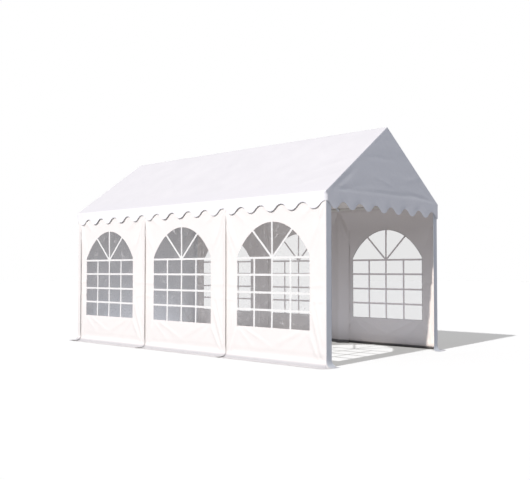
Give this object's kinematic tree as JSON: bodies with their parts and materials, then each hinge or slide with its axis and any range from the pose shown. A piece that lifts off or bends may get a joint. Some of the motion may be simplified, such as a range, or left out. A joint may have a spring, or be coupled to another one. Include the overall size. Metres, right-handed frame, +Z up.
{
  "type": "marquee tent",
  "caption": "Pitched party tent with a white cover, scalloped valance, arched windows in both long walls, a plain rear wall and one open gable.",
  "frame": {"origin": "on the ground under the middle of the tent", "axes": "+Z up, +Y along the ridge towards the closed rear gable, +X towards the right wall seen from the open front"},
  "size_m": [3.35, 6.234, 3.505],
  "materials": {
    "frame_steel": "satin white powder coat",
    "fitting_steel": "satin white powder coat over welds",
    "cover_fabric": "satin coated polyester",
    "wall_fabric": "satin coated polyester",
    "window_film": "clear soft film"
  },
  "bodies": {
    "root": {"post_left_1": "frame_steel", "post_left_2": "frame_steel", "post_left_3": "frame_steel", "post_left_4": "frame_steel", "post_right_1": "frame_steel", "post_right_2": "frame_steel", "post_right_3": "frame_steel", "post_right_4": "frame_steel", "rafter_left_1": "frame_steel", "rafter_left_2": "frame_steel", "rafter_left_3": "frame_steel", "rafter_left_4": "frame_steel", "rafter_right_1": "frame_steel", "rafter_right_2": "frame_steel", "rafter_right_3": "frame_steel", "rafter_right_4": "frame_steel", "ridge_fitting_1": "fitting_steel", "ridge_fitting_2": "fitting_steel", "ridge_fitting_3": "fitting_steel", "ridge_fitting_4": "fitting_steel", "eave_rail_left_1": "frame_steel", "eave_rail_left_2": "frame_steel", "eave_rail_left_3": "frame_steel", "eave_rail_right_1": "frame_steel", "eave_rail_right_2": "frame_steel", "eave_rail_right_3": "frame_steel", "ridge_rail_1": "frame_steel", "ridge_rail_2": "frame_steel", "ridge_rail_3": "frame_steel", "gable_bar_front": "frame_steel", "gable_bar_rear": "frame_steel", "roof_slope_left": "cover_fabric", "roof_slope_right": "cover_fabric", "valance_left": "cover_fabric", "valance_right": "cover_fabric", "gable_front": "cover_fabric", "gable_rear": "cover_fabric", "wall_left_1": "wall_fabric", "wall_left_2": "wall_fabric", "wall_left_3": "wall_fabric", "wall_right_1": "wall_fabric", "wall_right_2": "wall_fabric", "wall_right_3": "wall_fabric", "rear_wall": "wall_fabric", "window_left_1": "window_film", "window_left_2": "window_film", "window_left_3": "window_film", "window_right_1": "window_film", "window_right_2": "window_film", "window_right_3": "window_film"}
  },
  "joints": []
}
